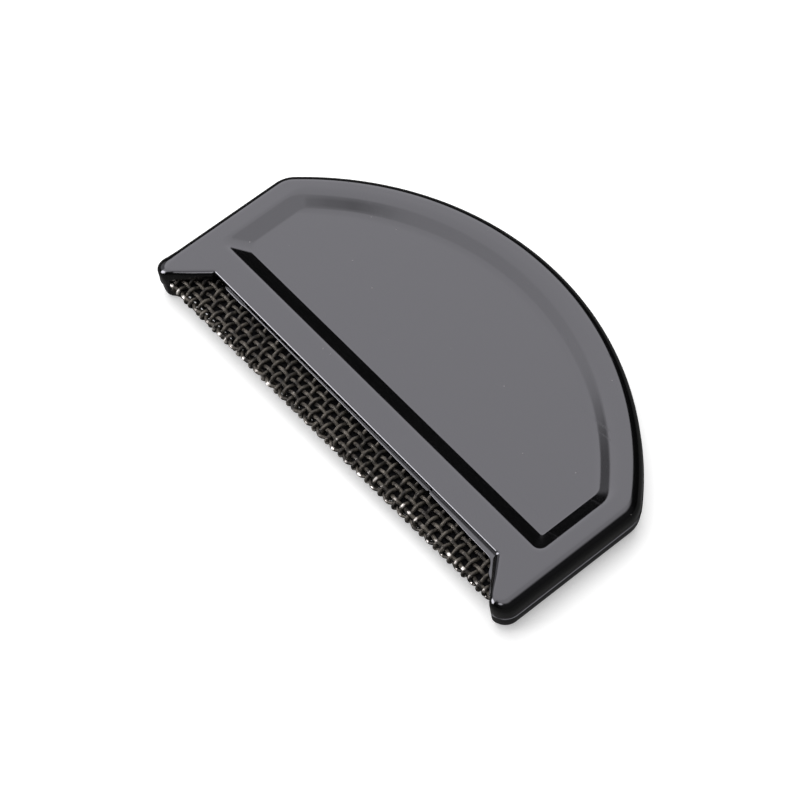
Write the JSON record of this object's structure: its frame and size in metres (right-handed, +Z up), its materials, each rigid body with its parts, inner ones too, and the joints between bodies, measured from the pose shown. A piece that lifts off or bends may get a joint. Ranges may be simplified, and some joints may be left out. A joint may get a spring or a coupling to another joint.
{
  "type": "sweater comb",
  "caption": "Half-moon hand comb of two hollow black plastic shells with thumb recesses, gripping a folded strip of woven wire mesh between two ears.",
  "frame": {"origin": "middle of the footprint, on the surface that the comb lies on", "axes": "+X along the mesh edge, +Y from the mesh towards the round back, +Z up through the thickness"},
  "size_m": [0.088, 0.047, 0.0068],
  "materials": {
    "handle_plastic": "glossy moulded black",
    "frame_plastic": "glossy moulded black",
    "mesh_metal": "dark bronze wire, bright where it is worn"
  },
  "bodies": {
    "root": {"upper_shell": "handle_plastic", "lower_shell": "handle_plastic", "upper_clamp_frame": "frame_plastic", "lower_clamp_frame": "frame_plastic", "mesh_core": "frame_plastic", "mesh_warp_wires": "mesh_metal", "mesh_weft_wires": "mesh_metal"}
  },
  "joints": []
}
